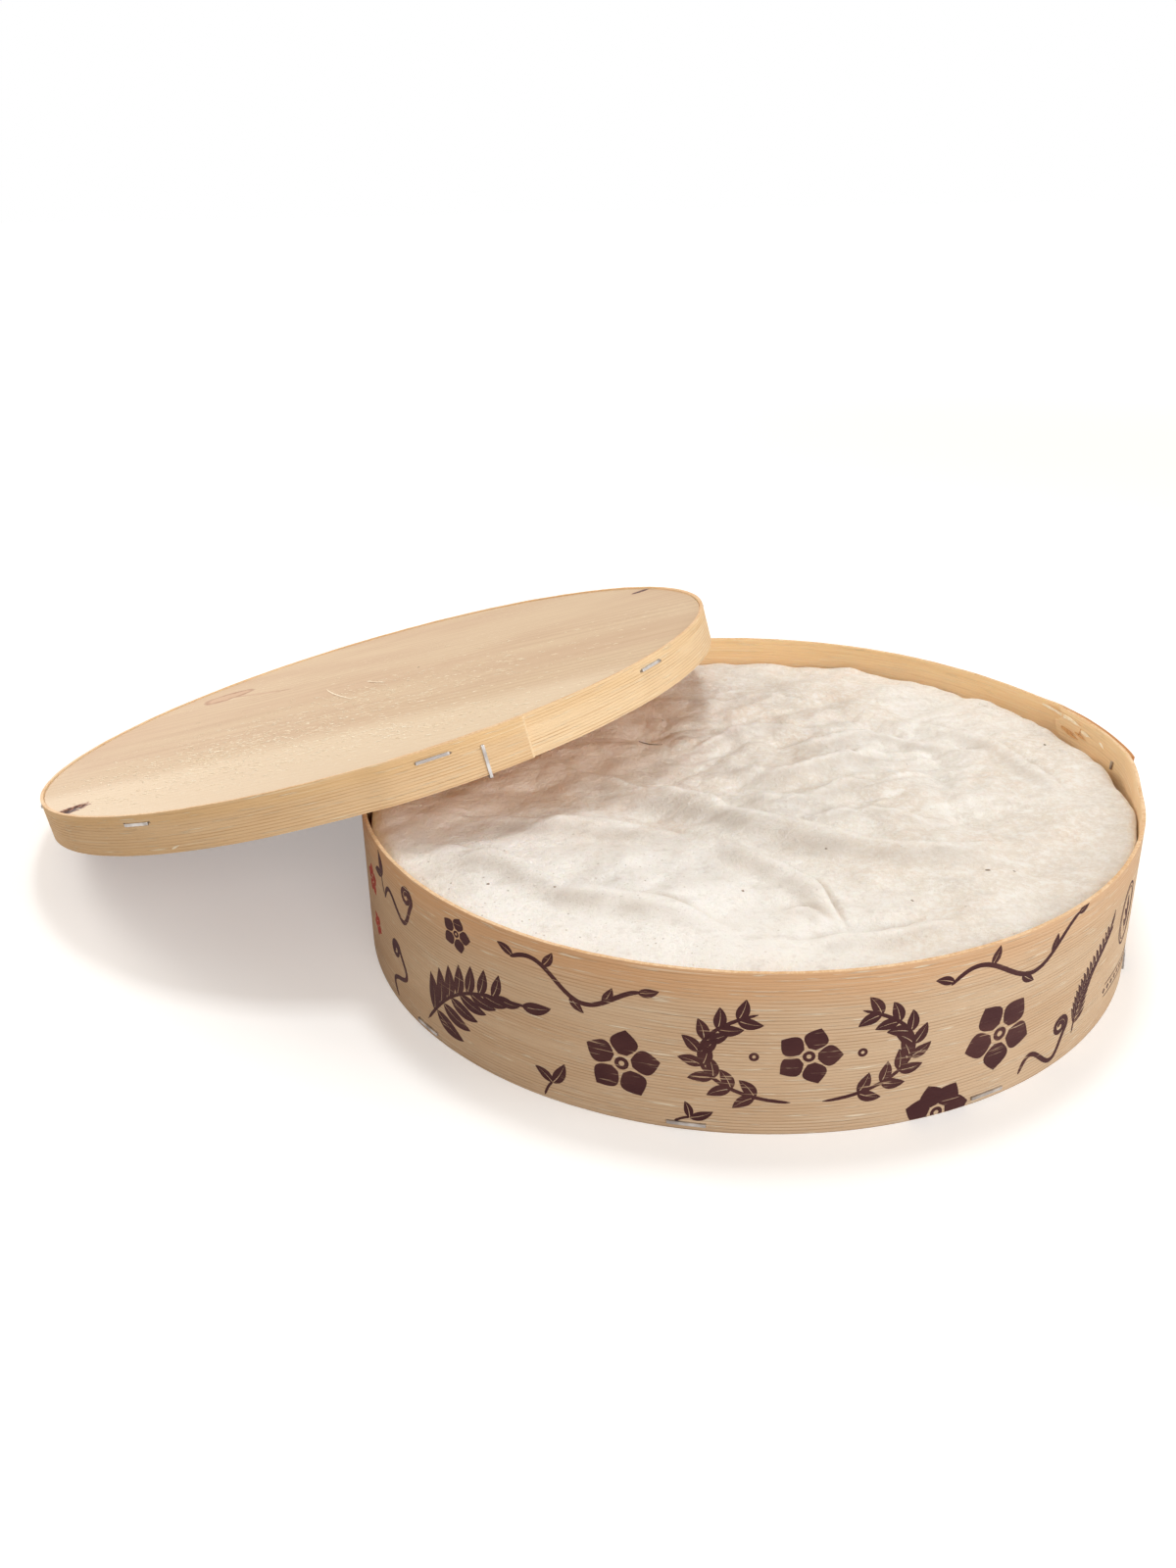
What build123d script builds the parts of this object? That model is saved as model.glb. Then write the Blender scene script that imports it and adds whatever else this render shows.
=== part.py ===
from build123d import *
from math import atan2, cos, degrees, radians, sin, tan
import os

# A round bent-wood cheese box, standing on a table with its lid leaning on the rim.
# Lengths are in millimetres. The origin is the centre of the box's underside, +Z is up,
# and angles run anticlockwise from +X, seen from above.
full_turn = 360
half_turn = 180

# Hoop of the box: one strip of sliced spruce, bent round the base board, its ends lapped
hoop_radius = 150.0  # outside, where the strip is single
hoop_height = 60.5
hoop_thickness = 1.4
hoop_lap = 55.0  # along the strip, from the outer end back to the hidden inner end
hoop_outer_end_angle = 0.0
seam_flare = 4.2  # the stiff lapped stretch stands out this far at the rim
flare_peak_angle = 3.0
flare_angle_along_lap = 42.0  # the flare dies away over this angle on the lap's side
flare_angle_past_end = 17.0  # and over this one beyond the outer end

# Lid: the same construction, a little wider so that it slips over the box
lid_radius = 153.6
lid_height = 16.4
lid_hoop_thickness = 1.4
lid_lap = 52.0
lid_outer_end_angle = 152.4  # lid angles run from the lid's lowest point
lid_board_thickness = 7.3
lid_board_recess = 0.7  # the board's top lies this far below the hoop's top edge

# Where the lid lies: one edge on the table, the board's underside on the rim
lean_angle = 16.2
lean_direction = 147.7
lid_gap = 0.3  # between the board's underside and the rim

# Base board
base_board_thickness = 6.0
board_fit = 0.1  # radial play of a board in its hoop
board_chamfer = 0.4

# Bent strips
layer_gap = 0.1  # between the two layers of a lap
climb_length = 14.0  # over which a strip climbs onto its own start
strip_step_length = 22.0  # spacing of the points that a strip's curve passes through
climb_steps = 6  # the points lie closer where it climbs

# Staples: flat galvanised wire
staple_crown = 12.8
wire_width = 1.2
wire_thickness = 0.6
board_leg_length = 8.0  # legs that are driven into a board's edge
clinch_length = 3.4  # legs that come out inside are folded over this far
staple_play = 0.05  # between wire and wood, all round

# Places of the staples
base_staple_angles = (257.6, 296.5, 338, 17, 58, 97, 138, 177, 217)
base_staple_share = 0.43  # height of the wire's middle, of the board's thickness
seam_staple_angle = 4.5
seam_staple_heights = (20.0, 46.5)  # middle of each upright staple
lid_staple_angles = (12, 53, 93.8, 138.7, 177.4, 218, 257, 298, 336)
lid_staple_share = 0.6
lid_seam_staple_angle = 145.6
lid_seam_staple_overhang = 1.3  # its lower leg hooks under the hoop's edge

# Spruce strap round the cheese, hidden below the bulging rind
strap_height = 37.0
strap_thickness = 1.2
strap_lap = 40.0
strap_outer_end_angle = 200.0
strap_play = 0.5  # between the strap's lap and the hoop

# Cheese
cheese_play = 0.3  # between the cheese and the strap
rind_play = 0.6  # between the widest part of the rind and the hoop
cheese_front_height = 57.0  # above the table, at the front wall
cheese_back_height = 50.0
rind_round = 7.0
# Reach of the rind's edge every 15 degrees, of its widest radius
rind_reach_shares = (
    0.970, 0.984, 0.997, 1.0, 0.996, 1.0, 0.998, 0.993, 0.998, 1.0, 0.995, 0.992,
    0.988, 0.978, 0.972, 0.988, 0.998, 1.0, 0.996, 1.0, 0.998, 1.0, 0.999, 0.992,
)
cut_overrun = 1.0  # every cut starts this far outside the wood

# Folds of the rind: low waves that rise slowly up to a crest and drop steeply behind it
fold_height = 4.5  # of the tallest one, over the rind's level
fold_width = 22.0  # of the widest one, from its foot to its crest
fold_back = 3.0  # from the crest to the foot of the steep side
fold_sink = 0.5  # a fold's feet lie this far below the rind's level
fold_root = 3.0  # and its body reaches this far below it
# Height and width of each fold, then its crest's places, of the rind's widest radius. A fold
# rises on the right of its crest, seen along it from its first place to its last.
fold_shares = (
    (1, 1, ((-0.52, 0.10), (-0.31, 0), (-0.11, -0.13), (0.07, -0.28), (0.38, -0.42), (0.65, -0.37))),
    (0.5, 0.7, ((-0.80, -0.18), (-0.57, -0.21), (-0.30, -0.26), (-0.12, -0.34))),
    (0.6, 0.6, ((-0.10, -0.36), (0, -0.47), (0.11, -0.62), (0.14, -0.80))),
    (0.8, 0.8, ((-0.8, -0.33), (-0.66, -0.41), (-0.5, -0.55), (-0.36, -0.63), (-0.22, -0.69), (-0.09, -0.8))),
    (0.5, 0.5, ((0.02, -0.85), (0.12, -0.82), (0.25, -0.81), (0.42, -0.77))),
    (0.6, 0.6, ((-0.20, 0.14), (-0.03, 0.10), (0.10, 0.03), (0.21, 0.10), (0.36, 0.17), (0.58, 0.19))),
    (0.6, 0.5, ((-0.07, -0.08), (0.08, -0.12), (0.18, -0.11), (0.27, -0.04), (0.40, 0))),
    (0.5, 0.5, ((-0.15, 0.22), (-0.01, 0.33), (0.11, 0.37), (0.25, 0.35))),
    (0.5, 0.5, ((0.08, 0.22), (0.26, 0.26), (0.36, 0.31), (0.48, 0.28), (0.60, 0.22), (0.76, 0.16))),
)
fold_taper_share = 0.3  # of a fold's length, over which either end rises out of the rind
fold_section_shares = (0, 0.15, 0.35, 0.5, 0.65, 0.85, 1)  # where its sections stand along it


def smooth(share):
    """Ease from 0 to 1 without a corner at either end."""
    share = min(max(share, 0), 1)
    return share * share * (3 - 2 * share)


def flare_at(angle):
    """How far the box's rim stands out at an angle."""
    off = (angle - flare_peak_angle + half_turn) % full_turn - half_turn
    reach = flare_angle_along_lap if off > 0 else flare_angle_past_end
    return seam_flare * smooth(1 - abs(off) / reach)


def no_flare(angle):
    """A strip that stands upright all round."""
    return 0


class Strip:
    """The sizes of one bent strip, and where its lap is. The radius is its outside."""

    def __init__(self, radius, thickness, height, lap, outer_end, direction, flare):
        self.radius, self.thickness, self.height = radius, thickness, height
        self.lap = degrees(lap / radius)
        self.climb = degrees(climb_length / radius)
        self.outer_end, self.direction, self.flare = outer_end, direction, flare

    def rise(self, turned):
        """How far the strip stands off its circle, this many degrees from its inner end."""
        return (self.thickness + layer_gap) * smooth((turned - full_turn + self.climb) / self.climb)

    def outside(self, angle):
        """Radius of the outermost layer at an angle, at the lower edge."""
        turned = (self.direction * (angle - self.outer_end) + self.lap) % full_turn
        turned += full_turn if turned < self.lap else 0
        return self.radius + self.rise(turned)

    def turns(self):
        """Degrees from the inner end at which the strip's curve is fixed, closest at its lap."""
        fine = self.climb / climb_steps
        coarse = degrees(strip_step_length / self.radius)
        stops = (0, self.climb, full_turn - 2 * self.climb, full_turn + self.lap)
        turns = [0]
        for start, end, step in zip(stops, stops[1:], (fine, coarse, fine)):
            steps = round((end - start) / step)
            turns += [start + (end - start) * count / steps for count in range(1, steps + 1)]
        return turns

    def point(self, turned, radius, flare_share):
        """Point on one face of the strip, this many degrees from its inner end."""
        angle = self.outer_end + self.direction * (turned - full_turn - self.lap)
        reach = radius + self.rise(turned) + self.flare(angle) * flare_share
        return Vector(reach * cos(radians(angle)), reach * sin(radians(angle)))

    def section(self, place, flare_share):
        """The strip's outline seen from above."""
        with BuildSketch(place) as outline:
            with BuildLine():
                outer = Spline([self.point(turned, self.radius, flare_share) for turned in self.turns()])
                inside = self.radius - self.thickness
                inner = Spline([self.point(turned, inside, flare_share) for turned in self.turns()])
                Line(outer @ 0, inner @ 0)
                Line(outer @ 1, inner @ 1)
            make_face()
        return outline.sketch

    def sections(self, place):
        """The outlines at the lower and the upper edge of the strip."""
        return [self.section(place, 0), self.section(place.offset(self.height), 1)]

    def staple_place(self, frame, angle, height, upright=False):
        """Plane on the outside of the strip: X along the crown, Z out of the wood."""
        turn = radians(angle)
        lean = atan2(self.flare(angle), self.height)
        reach = self.outside(angle) + height * tan(lean)
        out = Vector(cos(turn) * cos(lean), sin(turn) * cos(lean), -sin(lean))
        along = Vector(-sin(turn), cos(turn), 0)
        if upright:
            along = Vector(cos(turn) * sin(lean), sin(turn) * sin(lean), cos(lean))
        seat = Plane(Vector(reach * cos(turn), reach * sin(turn), height), x_dir=along, z_dir=out)
        return Plane(frame.location * seat.location)


def leg_holes(place):
    """The two holes that a staple's legs go through, just outside the wood."""
    with BuildSketch(place.offset(cut_overrun)) as holes:
        with Locations((-leg_offset, 0), (leg_offset, 0)):
            Rectangle(wire_thickness + 2 * staple_play, wire_width + 2 * staple_play)
    return holes.sketch


def bent_wire(place, legs):
    """A staple seen from its side. Each leg is its depth and how far its end is folded over."""
    side = Plane(place.origin, x_dir=place.x_dir, z_dir=-place.y_dir)
    outer = staple_crown / 2
    inner = outer - wire_thickness
    halves = []
    for depth, fold in legs:
        half = [(inner, staple_play), (inner, -depth), (outer, wire_thickness - depth)]
        if fold:
            half[2:] = [(outer - fold, -depth), (outer - fold, -depth - wire_thickness),
                        (outer, -depth - wire_thickness)]
        halves.append(half + [(outer, staple_play + wire_thickness)])
    points = [(-x, y) for x, y in halves[0]] + halves[1][::-1]
    with BuildSketch(side) as wire:
        with BuildLine():
            Polyline(points, close=True)
        make_face()
        fillet(wire.vertices().group_by(Axis.Y)[-1], wire_thickness / 2)
    return wire.sketch


def fold_body(level, crest, height, width):
    """A fold of the rind, through upright sections that stand across its crest."""
    with BuildPart() as fold:
        for share in fold_section_shares:
            swell = smooth(min(share, 1 - share) / fold_taper_share)
            top = height * swell - fold_sink * (1 - swell)
            ahead = crest % share
            with BuildSketch(Plane(crest @ share, x_dir=level.z_dir.cross(ahead), z_dir=ahead)):
                with BuildLine():
                    slope = Spline((-width, -fold_sink), (0, top), tangents=((1, 0), (1, 0)))
                    back = Spline((0, top), (fold_back, -fold_sink), tangents=((1, 0), (1, 0)))
                    Polyline(slope @ 0, (-width, -fold_root), (fold_back, -fold_root), back @ 1)
                make_face()
        loft()
    return fold.part


def finish(piece, name):
    """Name a finished piece and write it."""
    piece.label = name
    export_step(piece, f"parts/{name}.step")


os.makedirs("parts", exist_ok=True)

# The two hoops and the strap
hoop_strip = Strip(hoop_radius, hoop_thickness, hoop_height, hoop_lap, hoop_outer_end_angle, -1, flare_at)
lid_strip = Strip(lid_radius, lid_hoop_thickness, lid_height, lid_lap, lid_outer_end_angle, 1, no_flare)
strap_radius = hoop_radius - hoop_thickness - strap_play - strap_thickness - layer_gap
strap_strip = Strip(
    strap_radius, strap_thickness, strap_height, strap_lap, strap_outer_end_angle, 1, no_flare
)

# The lid's own frame: its origin is the centre of the hoop's lower edge, X points down the slope
lean, heading = radians(lean_angle), radians(lean_direction)
lid_board_bottom = lid_height - lid_board_recess - lid_board_thickness
rim_to_foot = (hoop_height + (lid_gap - lid_board_bottom) / cos(lean)) / tan(lean)
lid_distance = hoop_radius + rim_to_foot - lid_radius * cos(lean)
lid_frame = Plane(
    origin=(lid_distance * cos(heading), lid_distance * sin(heading), lid_radius * sin(lean)),
    x_dir=(cos(lean) * cos(heading), cos(lean) * sin(heading), -sin(lean)),
    z_dir=(sin(lean) * cos(heading), sin(lean) * sin(heading), cos(lean)),
)

# Places of the staples
leg_offset = (staple_crown - wire_thickness) / 2
base_staple_height = base_board_thickness * base_staple_share
lid_staple_height = lid_board_bottom + lid_board_thickness * lid_staple_share
lid_seam_height = staple_crown / 2 - lid_seam_staple_overhang
base_places = [
    hoop_strip.staple_place(Plane.XY, angle, base_staple_height) for angle in base_staple_angles
]
seam_places = [
    hoop_strip.staple_place(Plane.XY, seam_staple_angle, height, upright=True)
    for height in seam_staple_heights
]
lid_places = [lid_strip.staple_place(lid_frame, angle, lid_staple_height) for angle in lid_staple_angles]
lid_seam_place = lid_strip.staple_place(lid_frame, lid_seam_staple_angle, lid_seam_height, upright=True)

# Legs: driven straight into a board, or out through both layers of a lap and folded over
driven = (board_leg_length, 0)
through_hoop = (2 * hoop_thickness + layer_gap + staple_play, clinch_length)
through_lid = (2 * lid_hoop_thickness + layer_gap + staple_play, clinch_length)
hole_depth = cut_overrun + board_leg_length + staple_play

# Base board
with BuildPart() as base_board:
    with BuildSketch():
        Circle(hoop_radius - hoop_thickness - board_fit)
    extrude(amount=base_board_thickness)
    chamfer(base_board.edges().filter_by(GeomType.CIRCLE), board_chamfer)
    for place in base_places:
        extrude(leg_holes(place), amount=-hole_depth, mode=Mode.SUBTRACT)
finish(base_board.part, "base_board")

# Hoop of the box
with BuildPart() as box_hoop:
    loft(hoop_strip.sections(Plane.XY), ruled=True)
    for place in base_places + seam_places:
        extrude(leg_holes(place), amount=-hole_depth, mode=Mode.SUBTRACT)
finish(box_hoop.part, "box_hoop")

# Staples of the box
for number, place in enumerate(base_places, 1):
    with BuildPart() as staple:
        extrude(bent_wire(place, (driven, driven)), amount=wire_width / 2, both=True)
    finish(staple.part, f"base_staple_{number}")
for number, place in enumerate(seam_places, 1):
    with BuildPart() as staple:
        extrude(bent_wire(place, (through_hoop, through_hoop)), amount=wire_width / 2, both=True)
    finish(staple.part, f"seam_staple_{number}")

# Strap round the cheese, standing on the base board
with BuildPart() as cheese_strap:
    loft(strap_strip.sections(Plane.XY.offset(base_board_thickness)), ruled=True)
finish(cheese_strap.part, "cheese_strap")

# Cheese: a slab whose rind bulges over the strap and droops towards the back
widest = hoop_radius - hoop_thickness - rind_play
rind_points = []
for step, share in enumerate(rind_reach_shares):
    turn = radians(step * full_turn / len(rind_reach_shares))
    rind_points.append((widest * share * cos(turn), widest * share * sin(turn)))
rind_level = Plane(
    origin=(0, 0, (cheese_front_height + cheese_back_height) / 2),
    x_dir=(1, 0, 0),
    z_dir=(0, cheese_front_height - cheese_back_height, 2 * widest),
)
folds = []
for height_share, width_share, crest_shares in fold_shares:
    with BuildLine(rind_level) as line:
        Spline([(x * widest, y * widest) for x, y in crest_shares])
    folds.append(fold_body(rind_level, line.line, fold_height * height_share, fold_width * width_share))
with BuildPart() as cheese:
    with BuildSketch(Plane.XY.offset(base_board_thickness)):
        with BuildLine():
            Spline(rind_points, periodic=True)
        make_face()
    extrude(amount=hoop_height)
    split(bisect_by=rind_level, keep=Keep.BOTTOM)
    fillet(cheese.faces().sort_by(Axis.Z)[-1].edges(), rind_round)
    with BuildSketch(Plane.XY.offset(base_board_thickness)):
        Circle(hoop_radius)
        Circle(strap_radius - strap_thickness - cheese_play, mode=Mode.SUBTRACT)
    extrude(amount=strap_height + cheese_play, mode=Mode.SUBTRACT)
    add(folds)
finish(cheese.part, "cheese")

# Lid board
with BuildPart() as lid_board:
    with BuildSketch(lid_frame.offset(lid_board_bottom)):
        Circle(lid_radius - lid_hoop_thickness - board_fit)
    extrude(amount=lid_board_thickness)
    chamfer(lid_board.edges().filter_by(GeomType.CIRCLE), board_chamfer)
    for place in lid_places + [lid_seam_place]:
        extrude(leg_holes(place), amount=-hole_depth, mode=Mode.SUBTRACT)
finish(lid_board.part, "lid_board")

# Hoop of the lid
with BuildPart() as lid_hoop:
    loft(lid_strip.sections(lid_frame), ruled=True)
    for place in lid_places + [lid_seam_place]:
        extrude(leg_holes(place), amount=-hole_depth, mode=Mode.SUBTRACT)
finish(lid_hoop.part, "lid_hoop")

# Staples of the lid. The upright one is driven into the board above and hooked under the hoop.
for number, place in enumerate(lid_places, 1):
    with BuildPart() as staple:
        extrude(bent_wire(place, (driven, driven)), amount=wire_width / 2, both=True)
    finish(staple.part, f"lid_staple_{number}")
with BuildPart() as lid_seam_staple:
    extrude(bent_wire(lid_seam_place, (through_lid, driven)), amount=wire_width / 2, both=True)
finish(lid_seam_staple.part, "lid_seam_staple")
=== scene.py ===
# Round spruce cheese box, its lid leaning on the rim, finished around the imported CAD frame
import random
from math import atan2, cos, degrees, hypot, pi, radians, sin, sqrt, tan

import bpy
import numpy as np
from mathutils import Matrix, Vector, noise


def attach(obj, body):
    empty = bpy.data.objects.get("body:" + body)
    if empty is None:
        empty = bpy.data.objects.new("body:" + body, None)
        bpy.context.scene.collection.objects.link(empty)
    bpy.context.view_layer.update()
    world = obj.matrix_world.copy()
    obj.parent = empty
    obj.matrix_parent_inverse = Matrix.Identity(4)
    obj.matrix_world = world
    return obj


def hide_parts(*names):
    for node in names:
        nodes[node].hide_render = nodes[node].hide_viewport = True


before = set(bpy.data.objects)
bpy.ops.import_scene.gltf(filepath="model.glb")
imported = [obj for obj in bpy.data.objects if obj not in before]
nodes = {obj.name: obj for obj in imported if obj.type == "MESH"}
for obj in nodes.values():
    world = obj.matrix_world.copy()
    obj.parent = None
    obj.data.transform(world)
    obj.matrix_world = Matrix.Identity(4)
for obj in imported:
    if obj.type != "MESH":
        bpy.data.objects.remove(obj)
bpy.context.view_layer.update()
mm = 0.001
noise.seed_set(7)  # without it noise_vector starts from the clock and each run differs

boxHoop = {
    "radius": 150 * mm, "height": 60.5 * mm, "thickness": 1.4 * mm,  # outside size of the single strip
    "lap": 55 * mm, "outerEnd": 0, "direction": -1, "climb": 14 * mm, "gap": 0.1 * mm,
    "flare": 4.2 * mm, "flarePeak": 3, "flareAlongLap": 42, "flarePastEnd": 17,  # degrees from the peak
    "columns": 420, "rows": 30, "roundEdge": 0.16 * mm, "raggedEnd": 5 * mm, "raggedReach": 12 * mm,
}
lidHoop = {
    "radius": 153.6 * mm, "height": 16.4 * mm, "thickness": 1.4 * mm,
    "lap": 52 * mm, "outerEnd": 152.4, "direction": 1, "climb": 14 * mm, "gap": 0.1 * mm,
    "flare": 0, "flarePeak": 0, "flareAlongLap": 1, "flarePastEnd": 1,
    "columns": 400, "rows": 10, "roundEdge": 0.16 * mm, "raggedEnd": 0.4 * mm, "raggedReach": 12 * mm,
}
lidBoard = {
    "thickness": 7.3 * mm, "recess": 0.7 * mm, "play": 0.1 * mm, "roundEdge": 0.35 * mm, "sides": 320,
    "grainTurn": 25,  # degrees from the slope, in the lid's own plane
    "sapwoodAndSheenFrom": 70 * mm,  # paler wood beyond this, across the grain: sapwood, partly a painted sheen along the board's edge
    "knots": (  # place and size, both along and across the grain, turn, how red and how ragged
        ((104 * mm, -69 * mm), (12 * mm, 9 * mm), 22, 0.82, 0.1),
        ((82 * mm, -57 * mm), (22 * mm, 1.4 * mm), -22, 0.5, 0.5),
        ((101.5 * mm, 108.5 * mm), (7 * mm, 5.5 * mm), 40, 1, 1.2),
        ((-116 * mm, -91.5 * mm), (4.5 * mm, 2.4 * mm), 30, 0.9, 0.8),
    ),
}
lidPlace = {"lean": 16.2, "heading": 147.7, "gap": 0.3 * mm}
cheeseSlab = {
    "front": 57 * mm, "back": 50 * mm, "widest": 148 * mm, "cells": 280,
    "bulges": (  # middle and reach in degrees, how far out, how much rounder the edge
        (6, 24, 6.4 * mm, 5 * mm), (203, 24, 3.6 * mm, 3 * mm),
    ),
    "edgeRoundFront": 3 * mm, "edgeRoundBack": 4.5 * mm,
    "flattenFrom": 57.5 * mm, "headroom": 2.1 * mm,  # the highest crests stay below the closed lid
    "coreRadius": 145.3 * mm, "coreTop": 43.3 * mm, "underside": 6 * mm,
    "reachShares": (
        0.970, 0.984, 0.997, 1.0, 0.996, 1.0, 0.998, 0.993, 0.998, 1.0, 0.995, 0.992,
        0.988, 0.978, 0.972, 0.988, 0.998, 1.0, 0.996, 1.0, 0.998, 1.0, 1.001, 1.001,
    ),
}
photoCamera = {
    "place": (-61.31 * mm, -507.30 * mm, 294.65 * mm), "pitch": 25.41, "roll": -1.213,
    "focal": 1440.3, "width": 1200, "height": 1600,  # pixels of the photograph
}


# Small helpers
def smooth(share):
    share = min(max(share, 0), 1)
    return share * share * (3 - 2 * share)


def alone(piece):
    bpy.ops.object.select_all(action="DESELECT")
    piece.select_set(True)
    bpy.context.view_layer.objects.active = piece


def fresh(name, add, **settings):  # a primitive with nothing else selected
    bpy.ops.object.select_all(action="DESELECT")
    add(**settings)
    bpy.context.object.name = name
    return bpy.context.object


def freshGrid(name, columns, rows):
    return fresh(name, bpy.ops.mesh.primitive_grid_add, x_subdivisions=columns, y_subdivisions=rows, size=1)


def moveVertices(piece, place):
    for vertex in piece.data.vertices:
        vertex.co = place(vertex.co)


def layMap(piece, mapName, place):  # writes a UV map from each vertex's place
    layer = piece.data.uv_layers.get(mapName) or piece.data.uv_layers.new(name=mapName)
    spots = [place(vertex.co) for vertex in piece.data.vertices]
    for loop in piece.data.loops:
        layer.data[loop.index].uv = spots[loop.vertex_index]


def modify(piece, kind, **settings):
    alone(piece)
    change = piece.modifiers.new(kind.title(), kind)
    for setting, value in settings.items():
        setattr(change, setting, value)
    bpy.ops.object.modifier_apply(modifier=change.name)


def roundEdges(piece, width, segments):
    modify(piece, "BEVEL", width=width, segments=segments, limit_method="ANGLE", angle_limit=radians(60))


def editMesh(piece, *steps):  # runs edit-mode steps on the whole piece
    alone(piece)
    bpy.ops.object.mode_set(mode="EDIT")
    bpy.ops.mesh.select_all(action="SELECT")
    for step in steps:
        step()
    bpy.ops.object.mode_set(mode="OBJECT")


def smoothShade(piece, angle=40):
    alone(piece)
    bpy.ops.object.shade_smooth_by_angle(angle=radians(angle))


def joinAll(pieces, name):
    bpy.ops.object.select_all(action="DESELECT")
    for piece in pieces:
        piece.select_set(True)
    bpy.context.view_layer.objects.active = pieces[0]
    bpy.ops.object.join()
    pieces[0].name = name
    return pieces[0]


# Shader maths and finishes
def tint(red, green, blue):  # a colour as a picture shows it, 0 to 255
    parts = [part / 255 for part in (red, green, blue)]
    return [part / 12.92 if part < 0.04045 else ((part + 0.055) / 1.055) ** 2.4 for part in parts] + [1]


sawnEdge = (tint(240, 210, 172), tint(216, 172, 124))  # the pale and the deep tone of a strip's cut edge


class Value:
    def __init__(self, finish, socket):
        self.finish, self.socket = finish, socket

    def math(self, operation, *others, reflected=False):
        terms = [*others, self] if reflected else [self, *others]
        return self.finish.node("Math", {"operation": operation}, dict(enumerate(terms)))

    def __add__(self, other):
        return self.math("ADD", other)

    def __sub__(self, other):
        return self.math("SUBTRACT", other)

    def __rsub__(self, other):
        return self.math("SUBTRACT", other, reflected=True)

    def __mul__(self, other):
        return self.math("MULTIPLY", other)

    def __truediv__(self, other):
        return self.math("DIVIDE", other)

    def __pow__(self, other):
        return self.math("POWER", other)

    __radd__ = __add__
    __rmul__ = __mul__


class Finish:
    def __init__(self, name, library="materials"):
        self.made = getattr(bpy.data, library).new(name)
        self.made.use_nodes = True
        self.tree = self.made.node_tree
        self.tree.nodes.clear()

    def node(self, kind, settings=None, sockets=None, output=0):
        made = self.tree.nodes.new("ShaderNode" + kind)
        for setting, value in (settings or {}).items():
            setattr(made, setting, value)
        for socket, value in (sockets or {}).items():
            if isinstance(value, Value):
                self.tree.links.new(value.socket, made.inputs[socket])
            else:
                made.inputs[socket].default_value = value
        return Value(self, made.outputs[output] if made.outputs else None)

    def objectPlace(self):
        return self.node("TexCoord", output="Object")

    def stripPlace(self):
        return self.node("UVMap", {"uv_map": "strip"})

    def stretch(self, place, by=(1, 1, 1), turn=(0, 0, 0), move=(0, 0, 0)):
        return self.node("Mapping", None, {"Vector": place, "Scale": by, "Rotation": turn, "Location": move})

    def parts(self, place):
        split = self.node("SeparateXYZ", None, {"Vector": place})
        return [Value(self, socket) for socket in split.socket.node.outputs]

    def noise(self, place, scale=1, detail=3, roughness=0.5, **stretched):
        place = self.stretch(place, **stretched) if stretched else place
        sockets = {"Vector": place, "Scale": scale, "Detail": detail, "Roughness": roughness}
        return self.node("TexNoise", None, sockets)

    def dots(self, place, scale, small, large):  # 1 in round dots, 0 between them
        off = self.node("TexVoronoi", None, {"Vector": place, "Scale": scale}, output="Distance")
        return 1 - self.between(off, small, large)

    def between(self, value, low, high):  # 0 below low, 1 above high
        sockets = {"Value": value, "From Min": low, "From Max": high}
        return self.node("MapRange", {"interpolation_type": "SMOOTHSTEP"}, sockets)

    def most(self, values):  # the largest of several
        whole = values[0]
        for value in values[1:]:
            whole = whole.math("MAXIMUM", value)
        return whole

    def mix(self, share, first, second):
        return self.node("Mix", {"data_type": "RGBA"}, {0: share, 6: first, 7: second}, output=2)

    def cover(self, tone, look, *layers):  # lays colours over a tone: where, from and to, how much, which
        for *where, strength, name in layers:
            share = self.between(*where) if where[1:] else where[0]
            tone = self.mix(share * strength, tone, look[name])
        return tone

    def show(self, shader, kind="Material"):
        self.node("Output" + kind, None, {"Surface": shader})
        return self.made

    def dress(self, colour, roughness, relief, depth, strength, **more):
        normal = self.node("Bump", None, {"Height": relief, "Distance": depth, "Strength": strength})
        sockets = {"Base Color": colour, "Roughness": roughness, "Normal": normal, **more}
        return self.show(self.node("BsdfPrincipled", None, sockets))


# Veneer of the two hoops, read along and up the strip
def stripLength(strip):
    return 2 * pi * strip["radius"] + strip["lap"]


veneerLook = {
    "box": {
        "pale": tint(224, 199, 169), "deep": tint(212, 180, 146), "line": tint(180, 144, 110),
        "fleck": tint(246, 232, 208), "spacing": 1.2 * mm, "wander": 5 * mm, "lines": 0.8, "flecks": 0.9,
        "rim": tint(224, 176, 131), "rimFrom": 46 * mm, "rimTo": 62 * mm,
        "end": tint(196, 140, 88), "endAt": stripLength(boxHoop),
    },
    "lid": {
        "pale": tint(236, 206, 166), "deep": tint(224, 189, 144), "line": tint(196, 154, 106),
        "fleck": tint(252, 238, 210), "spacing": 1.2 * mm, "wander": 1.6 * mm, "lines": 0.85, "flecks": 0.6,
        "rim": tint(234, 198, 148), "rimFrom": 12 * mm, "rimTo": 17 * mm,
        "start": tint(248, 224, 186), "end": tint(240, 214, 176), "endAt": stripLength(lidHoop),
    },
    # inner faces, paler and warmer than the outside: painted light on the inner walls
    "inside": {
        "pale": tint(244, 216, 178), "deep": tint(235, 198, 152), "line": tint(216, 170, 120),
        "fleck": tint(254, 238, 208), "spacing": 1.3 * mm, "wander": 5 * mm, "lines": 0.4, "flecks": 0.5,
        "rim": tint(248, 214, 164), "rimFrom": 46 * mm, "rimTo": 62 * mm,
    },
}


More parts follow.
